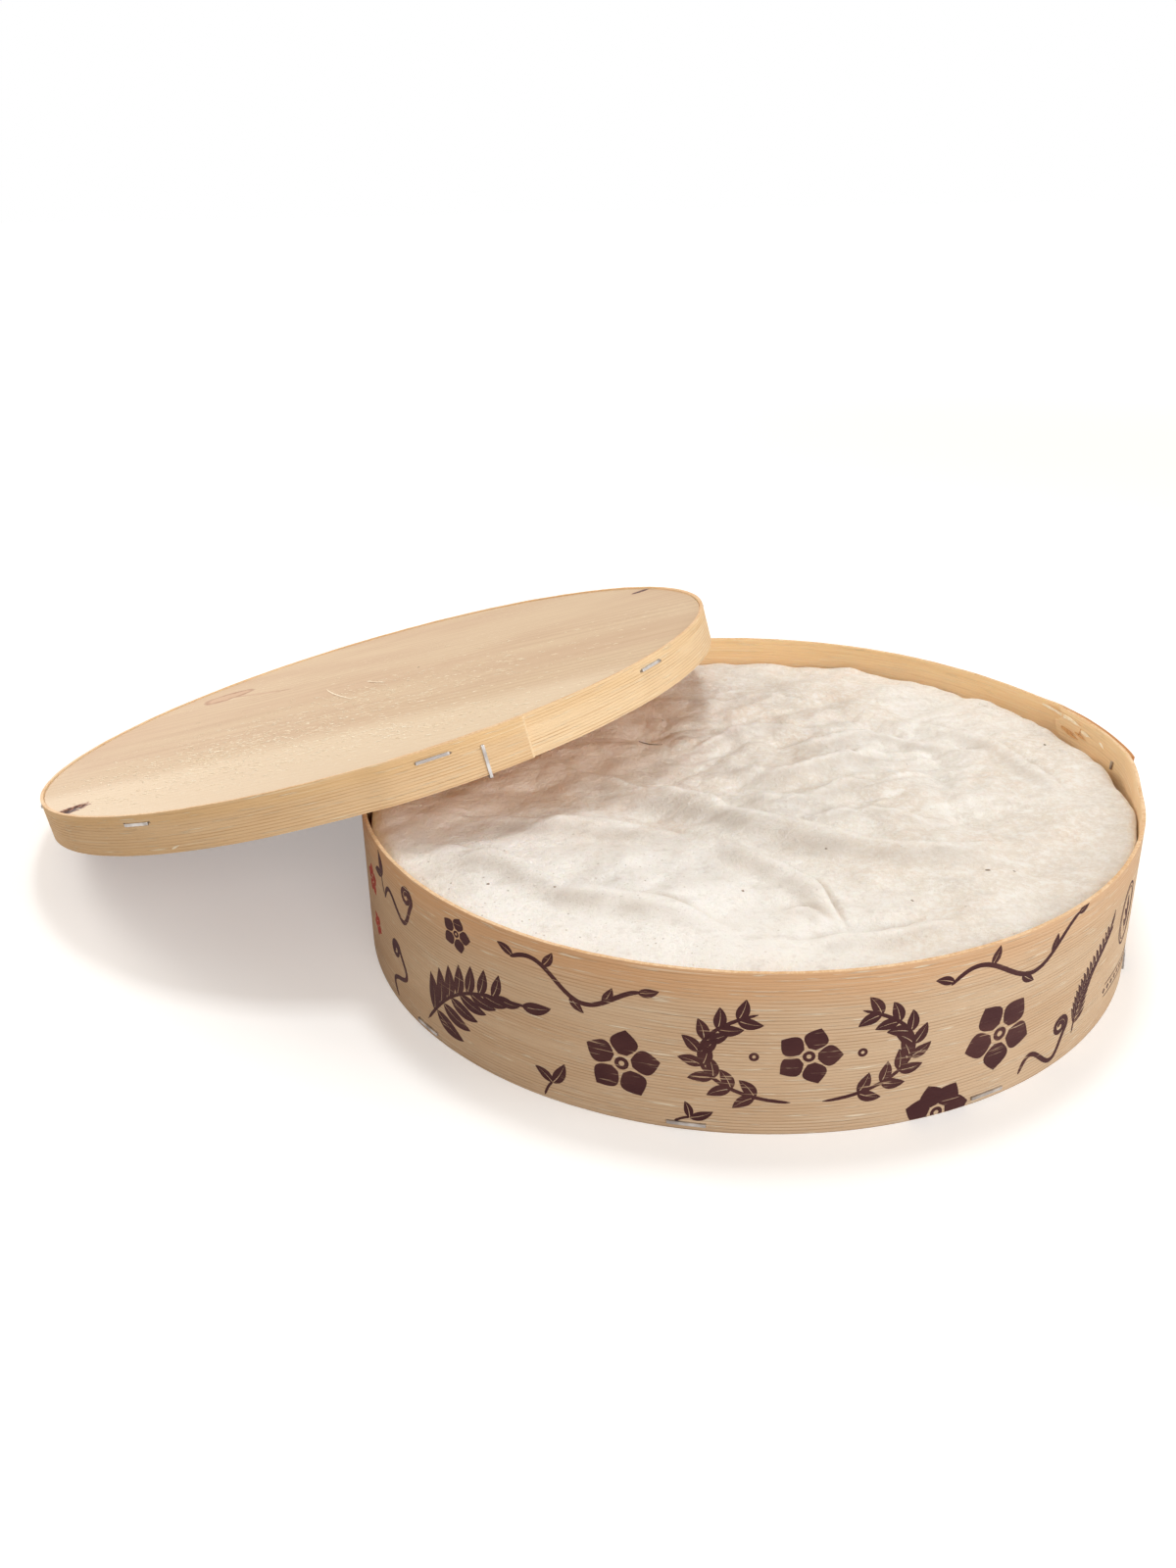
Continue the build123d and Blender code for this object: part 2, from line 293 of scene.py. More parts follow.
def veneerTone(finish, look):  # returns the colour and the relief of sliced spruce
    strip = finish.stripPlace()
    along, height, _ = finish.parts(strip)
    fibres = finish.noise(strip, 1, 4, 0.6, by=(20, 1100, 1))
    clouds = finish.noise(strip, by=(11, 60, 1))
    wander = finish.noise(strip, 1, 2, by=(3.5, 22, 1))
    turns = (height + wander * look["wander"]) * (2 * pi / look["spacing"])
    lines = (turns.math("SINE") * 0.5 + 0.5) ** 5
    patchy = finish.between(finish.noise(strip, 1, 2, by=(18, 160, 1)), 0.3, 0.65)
    flecks = finish.between(finish.noise(strip, 1, 2, by=(65, 1300, 1), move=(3, 7, 0)), 0.61, 0.7)
    rim = finish.between(height + clouds * (6 * mm), look["rimFrom"], look["rimTo"])
    tone = finish.mix(finish.between(clouds * 0.35 + fibres * 0.65, 0.38, 0.62), look["pale"], look["deep"])
    if "start" in look:
        tone = finish.cover(tone, look, (along, 0.42, 0.02, 0.5, "start"))
    tone = finish.cover(
        tone, look, (lines * patchy, look["lines"], "line"),
        (rim, finish.between(along, 0.1, 0.3) * 0.4 + 0.35, "rim"), (fibres, 0.52, 0.72, 0.5, "fleck"),
        (fibres, 0.46, 0.3, 0.4, "line"), (flecks, look["flecks"], "fleck"),
    )
    if "end" in look:
        tone = finish.cover(tone, look, (along, look["endAt"] - mm, look["endAt"] - 0.5 * mm, 1, "end"))
    return tone, fibres * 0.7 + flecks * 0.5 - lines * 0.25


rawWood = {"Specular IOR Level": 0.2}  # dull, without varnish


def glow(weight, *reach):  # light that gets into a soft thing, by how far each colour does
    return {"Subsurface Weight": weight, "Subsurface Radius": reach, "Subsurface Scale": 1.0}


def veneer(name, look, **more):
    finish = Finish(name)
    tone, relief = veneerTone(finish, look)
    return finish.dress(tone, 0.66, relief, 0.3 * mm, 1, **more, **rawWood)


def cutEdge(name, pale, deep, browned=None, brownFrom=0):  # the strips' sawn edges
    finish = Finish(name)
    place = finish.objectPlace()
    specks = finish.noise(place, 900, 3, 0.6)
    patches = finish.noise(place, 60, 2)
    tone = finish.mix(finish.between(specks * 0.6 + patches * 0.4, 0.35, 0.65), pale, deep)
    if browned:
        along = finish.parts(finish.stripPlace())[0]
        tone = finish.mix(finish.between(along, brownFrom, brownFrom + 20 * mm), tone, browned)
    return finish.dress(tone, 0.7, specks, 0.12 * mm, 0.8)


# Sawn spruce board: growth rings, sapwood with a painted sheen, knots and raised fibres
boardLook = {
    "pale": tint(214, 190, 159), "pink": tint(206, 178, 148), "line": tint(184, 150, 116),
    # sapwood: pale wood, partly a painted sheen along the board's edge
    "sapwoodAndPaintedSheen": tint(229, 209, 180), "knotRing": tint(150, 90, 64), "knotHeart": tint(198, 158, 128),
    "bark": tint(48, 22, 20), "rust": tint(132, 72, 54), "fibre": tint(252, 242, 222),
    "underside": tint(240, 176, 112), "deadFrom": 0.85,  # darker knots are dead, with bark
    "ringSpacing": 4.2 * mm, "pithAcross": 20 * mm, "pithDepth": 55 * mm,
}


def boardFinish(name, turn, origin=(0, 0, 0), knots=(), sapwoodAndSheenFrom=1, undersideShare=0):
    finish, look = Finish(name), boardLook
    grain = finish.stretch(finish.objectPlace(), turn=turn, move=origin)
    along, across, depth = finish.parts(grain)
    wander = finish.noise(grain, by=(5, 16, 16))
    uneven = finish.noise(grain, 75, 3, 0.6, move=(7, 2, 1))
    bend = wander * (26 * mm)
    edges, hearts, dead = [], [], []
    for place, size, turned, dark, frayed in knots:
        overAlong, overAcross = along - place[0], across - place[1]
        long = overAlong * cos(radians(turned)) + overAcross * sin(radians(turned))
        wide = overAcross * cos(radians(turned)) - overAlong * sin(radians(turned))
        off = ((long / size[0]) ** 2 + (wide / size[1]) ** 2).math("SQRT") + (wander + uneven - 1) * 1.1
        off = off + (finish.noise(grain, 420, 3, 0.7) - 0.5) * frayed
        bend = bend + (1 - finish.between(off, 1, 3.2)) * (dark * 5 * mm)
        edge = (1 - finish.between((off - 0.92).math("ABSOLUTE"), 0.04, 0.26)) * dark
        edges.append(edge * (finish.between(uneven, 0.3, 0.55) * 0.45 + 0.55))
        hearts.append(1 - finish.between(off, 0.75, 1))
        if dark > look["deadFrom"]:
            dead.append(hearts[-1])
    pith = ((across + bend - look["pithAcross"]) ** 2 + (depth - look["pithDepth"]) ** 2).math("SQRT")
    rings = ((pith * (2 * pi / look["ringSpacing"])).math("SINE") * 0.5 + 0.5) ** 2.5
    fibres = finish.noise(grain, 1, 5, 0.65, by=(22, 620, 300))
    clouds = finish.noise(grain, by=(9, 26, 26))
    patchy = finish.between(finish.noise(grain, 1, 2, by=(6, 40, 40), move=(2, 5, 1)), 0.35, 0.7)
    ragged = (clouds - 0.5) * (36 * mm) + (fibres - 0.5) * (50 * mm)
    # paler band across the grain: sapwood, partly a painted sheen along the edge
    sapwoodAndSheen = finish.between(across + ragged, sapwoodAndSheenFrom - 8 * mm, sapwoodAndSheenFrom + 22 * mm)
    shine = finish.between(finish.noise(grain, 1, 2, by=(16, 22, 22), move=(9, 3, 0)), 0.35, 0.7)
    chips = finish.between(finish.noise(grain, 1, 2, by=(300, 1100, 900), move=(4, 1, 6)), 0.6, 0.72)
    chips = chips * (shine * 0.7 + sapwoodAndSheen * 0.4)
    tone = finish.mix(finish.between(clouds, 0.35, 0.65), look["pale"], look["pink"])
    tone = finish.cover(
        tone, look, (rings, patchy * 0.25 + 0.1, "line"), (fibres, 0.42, 0.7, 0.3, "line"),
        (sapwoodAndSheen, 0.75, "sapwoodAndPaintedSheen"), (chips, 0.8, "fibre"),
    )
    if knots:
        heart, edge = finish.most(hearts), finish.most(edges)
        tone = finish.cover(tone, look, (heart, fibres * 0.8 + 0.2, "knotHeart"), (edge, 0.85, "knotRing"))
        torn = finish.between(finish.noise(grain, 700, 3, 0.7, move=(1, 2, 3)), 0.5, 0.6)
        tone = finish.mix(finish.most(dead), tone, finish.mix(torn, look["bark"], look["rust"]))
    tone = finish.cover(tone, look, (depth, -3 * mm, -5 * mm, undersideShare, "underside"))
    relief = fibres * 0.8 + chips * 0.9 - rings * 0.2
    return finish.dress(tone, 0.68 - sapwoodAndSheen * 0.08, relief, 0.22 * mm, 0.9)


# Strips: a place on the hoop from the way along it and the height
def flareAt(strip, angle):
    off = (angle - strip["flarePeak"] + 180) % 360 - 180
    reach = strip["flareAlongLap"] if off > 0 else strip["flarePastEnd"]
    return strip["flare"] * smooth(1 - abs(off) / reach)


def stripPoint(strip, along, height, out=0):
    turned = degrees(along / strip["radius"])
    lap, climb = degrees(strip["lap"] / strip["radius"]), degrees(strip["climb"] / strip["radius"])
    angle = strip["outerEnd"] + strip["direction"] * (turned - 360 - lap)
    rise = (strip["thickness"] + strip["gap"]) * smooth((turned - 360 + climb) / climb)
    reach = strip["radius"] + rise + out + flareAt(strip, angle) * height / strip["height"]
    return Vector((reach * cos(radians(angle)), reach * sin(radians(angle)), height))


def alongAt(strip, angle):  # way along the strip of its outermost layer
    lap = degrees(strip["lap"] / strip["radius"])
    turned = (strip["direction"] * (angle - strip["outerEnd"]) + lap) % 360
    turned += 360 if turned < lap else 0
    return radians(turned) * strip["radius"]


def bentStrip(name, strip, finishes):
    length = stripLength(strip)
    hoop = freshGrid(name, strip["columns"], strip["rows"])

    def lay(co):
        along, height = (co.x + 0.5) * length, (co.y + 0.5) * strip["height"]
        ragged = noise.noise(Vector((height * 420, 3, 1))) + 0.6 * noise.noise(Vector((height * 1300, 9, 1)))
        along += strip["raggedEnd"] * (0.4 + ragged) * max(0, 1 - along / strip["raggedReach"])
        nick = noise.noise(Vector((along * 90, co.y, 5))) + 0.5 * noise.noise(Vector((along * 600, 1, co.y)))
        height += 0.1 * mm * nick * (abs(co.y) * 2) ** 4
        return Vector((along, max(height, 0), 0))

    moveVertices(hoop, lay)
    layMap(hoop, "strip", lambda co: (co.x, co.y))
    moveVertices(hoop, lambda co: stripPoint(strip, co.x, co.y))
    if strip["direction"] < 0:
        editMesh(hoop, bpy.ops.mesh.flip_normals)
    for finish in finishes:
        hoop.data.materials.append(finish)
    modify(hoop, "SOLIDIFY", thickness=strip["thickness"], offset=-1, material_offset=2, material_offset_rim=1)
    roundEdges(hoop, strip["roundEdge"], 2)
    smoothShade(hoop)
    return hoop


lean, heading = radians(lidPlace["lean"]), radians(lidPlace["heading"])
boardBottom = lidHoop["height"] - lidBoard["recess"] - lidBoard["thickness"]
rimToFoot = (boxHoop["height"] + (lidPlace["gap"] - boardBottom) / cos(lean)) / tan(lean)
lidDistance = boxHoop["radius"] + rimToFoot - lidHoop["radius"] * cos(lean)
down = Vector((cos(lean) * cos(heading), cos(lean) * sin(heading), -sin(lean)))
out = Vector((sin(lean) * cos(heading), sin(lean) * sin(heading), cos(lean)))
side = out.cross(down)
lidFrame = Matrix((down, side, out)).transposed().to_4x4()
lidFrame.translation = (lidDistance * cos(heading), lidDistance * sin(heading), lidHoop["radius"] * sin(lean))


def intoLid(piece):
    alone(piece)
    piece.matrix_world = lidFrame @ piece.matrix_world
    bpy.ops.object.transform_apply(location=True, rotation=True, scale=True)


edgeOfVeneer = cutEdge("veneerEdge", *sawnEdge)
boxVeneer = veneer("boxVeneer", veneerLook["box"])
lidVeneer = veneer("lidVeneer", veneerLook["lid"])
# inner faces of both strips, their paler tone painted light
insideVeneerPaintedLight = veneer("insideVeneerPaintedLight", veneerLook["inside"], **glow(0.15, 3 * mm, 1.7 * mm, 0.9 * mm))
lapEdge = cutEdge("veneerLapEdge", *sawnEdge, tint(190, 128, 74), 2 * pi * boxHoop["radius"] - 6 * mm)
hoopPiece = bentStrip("boxHoopWood", boxHoop, (boxVeneer, lapEdge, insideVeneerPaintedLight))
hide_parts("box_hoop")
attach(hoopPiece, "box")
lidHoopPiece = bentStrip("lidHoopWood", lidHoop, (lidVeneer, edgeOfVeneer, insideVeneerPaintedLight))
intoLid(lidHoopPiece)
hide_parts("lid_hoop")
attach(lidHoopPiece, "lid")
print("hoops bent")

# Print on the box: sprigs, flowers, tendrils and ovals, wrapped round the hoop as thin ink
printLook = {
    "ink": tint(68, 35, 37), "redInk": tint(178, 62, 44), "thickness": 0.06 * mm,
    "steps": 200,  # points that each line is read at
    "repeat": 165,  # degrees to the second round of the same motifs
    "lowest": 0.25 * mm, "highest": 60 * mm,  # cut off level with the hoop's edges
}
inkStrokes = []


def stroke(path, inner, outerEdge, columns, rows=2):  # a printed shape between two offsets from a line
    piece = freshGrid("stroke", columns, rows)
    steps = printLook["steps"]
    ends = [path(step / steps) for step in range(steps + 1)]

    def lay(co):
        share = min(max(co.x + 0.5, 0), 1)
        step = round(share * steps)
        first, last = ends[max(step - 1, 0)], ends[min(step + 1, steps)]
        turn = atan2(last[1] - first[1], last[0] - first[0])
        off = inner(share) + (outerEdge(share) - inner(share)) * (co.y + 0.5)
        return Vector((ends[step][0] - off * sin(turn), ends[step][1] + off * cos(turn), 0))

    moveVertices(piece, lay)
    inkStrokes.append(piece)


def evenStroke(path, half, columns, rows=2):
    stroke(path, lambda share: -half(share), half, columns, rows)


def line(path, width, columns):  # a stroke with round ends, or one that closes on itself
    closed = (Vector(path(0)) - Vector(path(1))).length < 0.01
    half = lambda share: width / 2 * (1 if closed else sqrt(max(0.02, 1 - abs(2 * share - 1) ** 16)))
    evenStroke(path, half, columns)
    if closed:
        editMesh(inkStrokes[-1], lambda: bpy.ops.mesh.remove_doubles(threshold=0.04))


def wave(size, high, turns, shift=0):
    return lambda share: (size * (share - 0.5), high * size * sin(turns * pi * share + shift))


def ring(wide, high, width, columns=72, x=0):
    line(lambda share: (x + wide * cos(2 * pi * share), high * sin(2 * pi * share)), width, columns)


def leaf(x, y, length, width, turn):
    def path(share):
        way = radians(turn) + 0.25 * (share - 0.5)
        return x + length * share * cos(way), y + length * share * sin(way)

    vein = lambda share: 0.16 * (1 - share) + 0.02
    half = lambda share: max(width / 2 * sin(pi * share ** 0.8) ** 0.85, vein(share)) + 0.04
    stroke(path, vein, half, 12)
    stroke(path, lambda share: -half(share), lambda share: -vein(share), 12)


def sprig(size):
    stem = wave(size, 0.14, 1)
    line(stem, 1.2, 24)
    count = max(3, round(size / 8))
    for step in range(count):
        x, y = stem(0.12 + 0.74 * step / count)
        spread, long = 58 - 26 * step / count, 0.27 * size * (1 - 0.4 * step / count)
        leaf(x, y, long, 0.38 * long, spread)
        leaf(x + 0.03 * size, y, long, 0.38 * long, -spread)
    leaf(*stem(0.96), 0.2 * size, 0.08 * size, -22)


def leafPair(size):
    leaf(0, 0, size, size * 0.42, 35)
    leaf(0, 0, size * 0.8, size * 0.36, 118)
    line(lambda share: (-0.5 * size * share, -0.45 * size * share ** 1.5), 0.9, 8)


def flower(size, petals=5, first=0):
    reach = lambda share: size * (0.26 + 0.74 * share)
    swell = lambda share: sin(pi * (0.12 + 0.8 * share)) ** 1.2 * sqrt(max(0, 1 - share ** 6))
    half = lambda share: size * 0.36 * swell(share) + 0.03
    for petal in range(petals):
        turn = 2 * pi * petal / petals + first
        evenStroke(lambda share: (reach(share) * cos(turn), reach(share) * sin(turn)), half, 12, 4)
    ring(0.13 * size, 0.13 * size, 0.11 * size, 24)


def halfFlower(size):
    flower(size, 7, 0.3)


def tendril(size):  # a wave that ends in a coil
    first, wide = 0.55 - pi / 2, 0.17 * size
    run = lambda way: (size * (way - 0.7), 0.2 * size * sin(2.2 * pi * way))

    def path(share):
        if share < 0.62:
            return run(share / 0.62)
        turn = (share - 0.62) / 0.38
        angle, radius = first + 3.3 * pi * turn, wide * (1 - 0.8 * turn)
        x, y = run(1)
        return x + radius * cos(angle) - wide * cos(first), y + radius * sin(angle) - wide * sin(first)

    line(path, 1.8, 90)


def oval(size):
    ring(size * 0.62, size, 0.9)
    ring(size * 0.5, size * 0.86, 0.4)
    for turn, y in ((60, -0.45), (120, -0.45), (60, -0.1), (120, -0.1), (90, 0.2)):
        leaf(0, y * size, 0.42 * size, 0.17 * size, turn)
    line(lambda share: (0, size * (0.25 - 0.9 * share)), 0.5, 8)


def wreath(size):
    for way in (-1, 1):
        stem = lambda share: (way * size * sin(0.15 + 2.5 * share), -0.52 * size * cos(0.15 + 2.5 * share))
        line(stem, 1.3, 48)
        for step in range(8):
            (x, y), further = stem(0.14 + 0.11 * step), stem(0.16 + 0.11 * step)
            along = degrees(atan2(further[1] - y, further[0] - x))
            for turn in (42, -42):
                leaf(x, y, 0.24 * size, 0.12 * size, along + turn)
    flower(size * 0.32)
    for x in (-0.5, 0.5):
        ring(1.1, 1.1, 1, 20, x * size)


def twig(size):
    stem = wave(size, 0.1, 1.4)
    line(stem, 1.0, 24)
    for step in range(15):
        x, y = stem(0.1 + 0.06 * step)
        long = size * (0.2 - 0.006 * step)
        for turn in (42, -42):
            leaf(x, y, long, 0.045 * size, turn)
    leaf(*stem(0.98), 0.2 * size, 0.05 * size, 0)


def vine(size):  # a long wave with a leaf at each turn
    stem = wave(size, 0.11, 2.3, 0.4)
    line(stem, 1.7, 60)
    for step, way in ((0.02, 150), (0.27, 55), (0.5, -50), (0.74, 60), (0.98, 10)):
        leaf(*stem(step), 7, 3.2, way)


def diamonds(size):
    half = lambda share: 1.15 * (1 - abs(2 * share - 1)) + 0.02
    for step in range(9):
        x = size * (step / 8 - 0.5)
        evenStroke(lambda share: (x - 1.3 + 2.6 * share, 0), half, 8)
    for y in (2.6, -2.6):
        line(lambda share: (size * (share - 0.5), y), 0.5, 24)


printLayout = (  # motif, degrees round the box, height, size and turn
    (tendril, 212, 44, 24, 10), (leafPair, 205, 49, 10, 60), (sprig, 227, 20, 58, 28),
    (vine, 243, 47, 46, -5), (flower, 249.5, 22, 13, 12), (flower, 225, 50, 7, 0),
    (tendril, 210, 17, 22, 70), (leafPair, 240, 7, 10, 20), (wreath, 272, 30, 34, 0),
    (halfFlower, 289, 1, 12, 40), (vine, 300, 50, 56, 6), (flower, 297.5, 25, 14, 50),
    (tendril, 308, 8, 24, 12), (twig, 316, 25, 38, 62), (oval, 328, 37, 12, 0),
    (diamonds, 328, 13, 32, 0), (sprig, 342, 26, 40, 78), (leafPair, 258, 5, 8, -20),
)
redLayout = ((flower, 199, 40, 6.5, 20), (flower, 200, 22, 5, 50))


def printed(name, layout, finish):
    motifs = []
    for start in (0, printLook["repeat"]):
        for motif, angle, height, size, turn in layout:
            inkStrokes.clear()
            motif(size)
            drawn = joinAll(list(inkStrokes), "drawn")
            place = Matrix.Translation((radians(angle + start) * boxHoop["radius"], height * mm, 0))
            place = place @ Matrix.Rotation(radians(turn), 4, "Z") @ Matrix.Scale(mm, 4)
            moveVertices(drawn, lambda co: place @ co)
            motifs.append(drawn)
    inked = joinAll(motifs, name)
    trim = lambda level, way: lambda: (
        bpy.ops.mesh.select_all(action="SELECT"),
        bpy.ops.mesh.bisect(plane_co=(0, level, 0), plane_no=(0, way, 0), clear_outer=True),
    )
    editMesh(inked, trim(printLook["lowest"], -1), trim(printLook["highest"], 1))
    alongHoop = lambda co: alongAt(boxHoop, degrees(co.x / boxHoop["radius"]))
    layMap(inked, "strip", lambda co: (alongHoop(co), co.y))
    moveVertices(inked, lambda co: stripPoint(boxHoop, alongHoop(co), co.y, printLook["thickness"] / 2))
    inked.data.materials.append(finish)
    modify(inked, "SOLIDIFY", thickness=printLook["thickness"], offset=0)
    editMesh(inked, lambda: bpy.ops.mesh.normals_make_consistent(inside=False))
    smoothShade(inked)
    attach(inked, "box")


def inkFinish(name, colour):
    finish = Finish(name)
    wood, relief = veneerTone(finish, veneerLook["box"])
    strip = finish.stripPlace()
    misses = finish.noise(strip, 1, 3, 0.6, by=(70, 1300, 1))
    dry = finish.noise(strip, 1, 2, by=(40, 60, 1))
    misses = finish.between(misses + (dry - 0.5) * 0.4, 0.64, 0.72)
    tone = finish.mix(finish.between(dry, 0.4, 0.7) * 0.25, colour, tint(112, 74, 68))
    return finish.dress(finish.mix(misses * 0.7, tone, wood), 0.66, relief, 0.14 * mm, 0.8, **rawWood)


printed("hoopPrint", printLayout, inkFinish("brownInk", printLook["ink"]))
printed("hoopPrintRed", redLayout, inkFinish("redInk", printLook["redInk"]))
print("hoop printed")

# Lid board: a disc with rounded edges and one knot that has fallen out
turnIn = Matrix.Rotation(radians(lidBoard["grainTurn"]), 4, "Z")
boardTop = boardBottom + lidBoard["thickness"]
toGrain = Matrix.Translation((0, 0, -boardTop)) @ (lidFrame @ turnIn).inverted()
boardWood = boardFinish(
    "lidBoardWood", toGrain.to_euler(), toGrain.translation, lidBoard["knots"], lidBoard["sapwoodAndSheenFrom"], 0.7
)
lidBoardPiece = fresh(
    "lidBoardSawn", bpy.ops.mesh.primitive_cylinder_add, vertices=lidBoard["sides"],
    radius=lidHoop["radius"] - lidHoop["thickness"] - lidBoard["play"],
    depth=lidBoard["thickness"], location=(0, 0, boardBottom + lidBoard["thickness"] / 2),
)
lidBoardPiece.data.materials.append(boardWood)
roundEdges(lidBoardPiece, lidBoard["roundEdge"], 3)
place, size, turned, *_ = lidBoard["knots"][2]
hole = fresh("knotHole", bpy.ops.mesh.primitive_ico_sphere_add, subdivisions=4, radius=1)
hole.matrix_world = (
    turnIn @ Matrix.Translation((*place, boardTop + 0.2 * mm)) @ Matrix.Rotation(radians(turned), 4, "Z")
    @ Matrix.Diagonal((size[0] * 0.95, size[1] * 0.9, 1.6 * mm, 1))
)
bpy.ops.object.transform_apply(location=True, rotation=True, scale=True)
moveVertices(hole, lambda co: co + 0.5 * mm * noise.noise_vector(co * 500))
hole.data.materials.append(boardWood)
modify(lidBoardPiece, "BOOLEAN", object=hole, operation="DIFFERENCE", solver="EXACT")
bpy.data.objects.remove(hole)
smoothShade(lidBoardPiece)
intoLid(lidBoardPiece)
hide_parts("lid_board")
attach(lidBoardPiece, "lid")
print("lid board sawn")

# Raised fibres: pale slivers that the saw has left standing on the lid board
slivers = {
    "beds": (  # middle along and across the grain, spread both ways, how many
        ((46 * mm, 60 * mm), (60 * mm, 24 * mm), 600), ((20 * mm, 10 * mm), (45 * mm, 30 * mm), 220),
        ((-55 * mm, 20 * mm), (55 * mm, 45 * mm), 260), ((0, 98 * mm), (95 * mm, 20 * mm), 600),
    ),
    "long": (1.2 * mm, 4.2 * mm), "wide": (0.35 * mm, 0.75 * mm), "lift": 0.1 * mm, "thickness": 0.06 * mm,
    "tip": 0.02 * mm, "lean": 0.16, "bow": 0.2, "large": (0.7 * mm, 0.25 * mm),
    "scratches": (  # large curled fibres: three places in the grain's own plane
        ((34.6, -26.7), (18.3, 1.3), (4.9, 17.5)), ((12, -22), (4, -12), (-2, -8)),
    ),
}


def sliverPoint(co, middle, turn, long, wide, lift, bow):
    way = co.x * 2
    taper = (1 - abs(way) ** 5) * wide + slivers["tip"]
    flat = Vector((co.x * long, co.y * taper + bow * (1 - way * way)))
    flat = Matrix.Rotation(turn, 2) @ flat + Vector(middle)
    return Vector((*flat, lift * (1 - way * way) + slivers["tip"]))


draw = random.Random(7)
standing = []
boardReach = lidHoop["radius"] - lidHoop["thickness"] - 3 * mm
for middle, spread, count in slivers["beds"]:
    for _ in range(count):
        spot = [draw.gauss(middle[way], spread[way] / 1.6) for way in (0, 1)]
        long = draw.uniform(*slivers["long"]) * draw.uniform(0.5, 1)
        turn = draw.gauss(0, slivers["lean"])
        wide, lift = draw.uniform(*slivers["wide"]), draw.uniform(0.1, 1) * slivers["lift"]
        if hypot(*spot) < boardReach - long / 2:
            bow = draw.uniform(-slivers["bow"], slivers["bow"]) * long
            standing.append((spot, turn, long, wide, lift, bow))
for places in slivers["scratches"]:
    first, second, third = (Vector(place) * mm for place in places)
    span, middle = third - first, (first + third) / 2
    bow = (second - middle).dot(Vector((-span.y, span.x)).normalized())
    standing.append((middle, atan2(span.y, span.x), span.length, *slivers["large"], bow))
fibrePiece = freshGrid("lidFibres", 6, 1)
each = len(fibrePiece.data.vertices)
modify(fibrePiece, "ARRAY", count=len(standing), use_relative_offset=False)
for vertex in fibrePiece.data.vertices:
    vertex.co = sliverPoint(vertex.co, *standing[vertex.index // each])
modify(fibrePiece, "SOLIDIFY", thickness=slivers["thickness"], offset=0)
fibrePiece.data.transform(turnIn @ Matrix.Translation((0, 0, boardTop)))
palest = cutEdge("fibrePale", tint(255, 246, 226), tint(244, 226, 196))
fibrePiece.data.materials.append(palest)
smoothShade(fibrePiece)
intoLid(fibrePiece)
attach(fibrePiece, "lid")
print("fibres raised")

# Cheese: the slab's folds with their creases, swells and wrinkles
rindFolds = {
    "height": 4.8 * mm, "width": 22 * mm, "back": 2.3 * mm, "taperShare": 0.3,
    "crease": 1.1 * mm, "creaseWidth": 1.4 * mm, "waver": 2.2 * mm,
    "crestHighlightFrom": 1.5 * mm, "crestHighlightWidth": 2 * mm,  # a painted highlight along a fold's top
    "shares": (  # height and width of a fold, then its crest's places, of the widest radius
        (1, 1, ((-0.52, 0.10), (-0.31, 0), (-0.11, -0.13), (0.07, -0.28), (0.38, -0.42), (0.65, -0.37))),
        (0.5, 0.7, ((-0.80, -0.18), (-0.57, -0.21), (-0.30, -0.26), (-0.12, -0.34))),
        (0.6, 0.6, ((-0.10, -0.36), (0, -0.47), (0.11, -0.62), (0.14, -0.80))),
        (0.8, 0.8, (
            (-0.8, -0.33), (-0.66, -0.41), (-0.5, -0.55), (-0.36, -0.63), (-0.22, -0.69), (-0.09, -0.8),
        )),
        (0.5, 0.5, ((0.02, -0.85), (0.12, -0.82), (0.25, -0.81), (0.42, -0.77))),
        (0.6, 0.6, ((-0.20, 0.14), (-0.03, 0.10), (0.10, 0.03), (0.21, 0.10), (0.36, 0.17), (0.58, 0.19))),
        (0.6, 0.5, ((-0.07, -0.08), (0.08, -0.12), (0.18, -0.11), (0.27, -0.04), (0.40, 0))),
        (0.5, 0.5, ((-0.15, 0.22), (-0.01, 0.33), (0.11, 0.37), (0.25, 0.35))),
        (0.5, 0.5, ((0.08, 0.22), (0.26, 0.26), (0.36, 0.31), (0.48, 0.28), (0.60, 0.22), (0.76, 0.16))),
        (0.3, 0.5, ((0.11, -0.25), (0.26, -0.19), (0.38, -0.22), (0.50, -0.27))),
        (0.3, 0.35, ((0.00, -0.72), (0.07, -0.70), (0.12, -0.77))),
        (0.35, 0.5, ((0.55, 0.42), (0.68, 0.30), (0.80, 0.08), (0.84, -0.15))),
        (0.3, 0.4, ((-0.25, 0.62), (-0.05, 0.58), (0.12, 0.62), (0.30, 0.55))),
    ),
}
rindDomes = (  # place as shares of the widest radius, height and reach
    ((-0.66, -0.56), 2.4 * mm, 15 * mm), ((0.18, 0.41), 1.4 * mm, 6 * mm), ((0.42, 0.62), 1.5 * mm, 22 * mm),
)
rindRelief = {
    "busiest": ((45 * mm, 30 * mm), 110 * mm),  # place and reach of the most uneven rind
    "broad": 2.2, "swells": (  # how often, height, how much more where the rind is busy, shift
        (37, 2.4, 0, (3, 1, 0)), (72, 1.1, 0.9, (0, 2, 0)), (130, 0.4, 0.7, (5, 0, 0)),
        (330, 0.08, 0, (0, 0, 0)),
    ),
    "wrinkles": (0.25, 0.5), "bend": 16 * mm,
    "creases": ((15, 1.5, 0.16), (31, 1.1, 0.18), (62, 0.6, 0.22)),  # how often, depth, width
}
pitch, roll = radians(photoCamera["pitch"]), radians(photoCamera["roll"])
ahead = Vector((0, cos(pitch), -sin(pitch)))
upright = Vector((0, sin(pitch), cos(pitch)))
cameraRight = cos(roll) * Vector((1, 0, 0)) + sin(roll) * upright
cameraUp = cos(roll) * upright - sin(roll) * Vector((1, 0, 0))


def ease(shares):  # smooth, for an array
    shares = np.clip(shares, 0, 1)
    return shares * shares * (3 - 2 * shares)


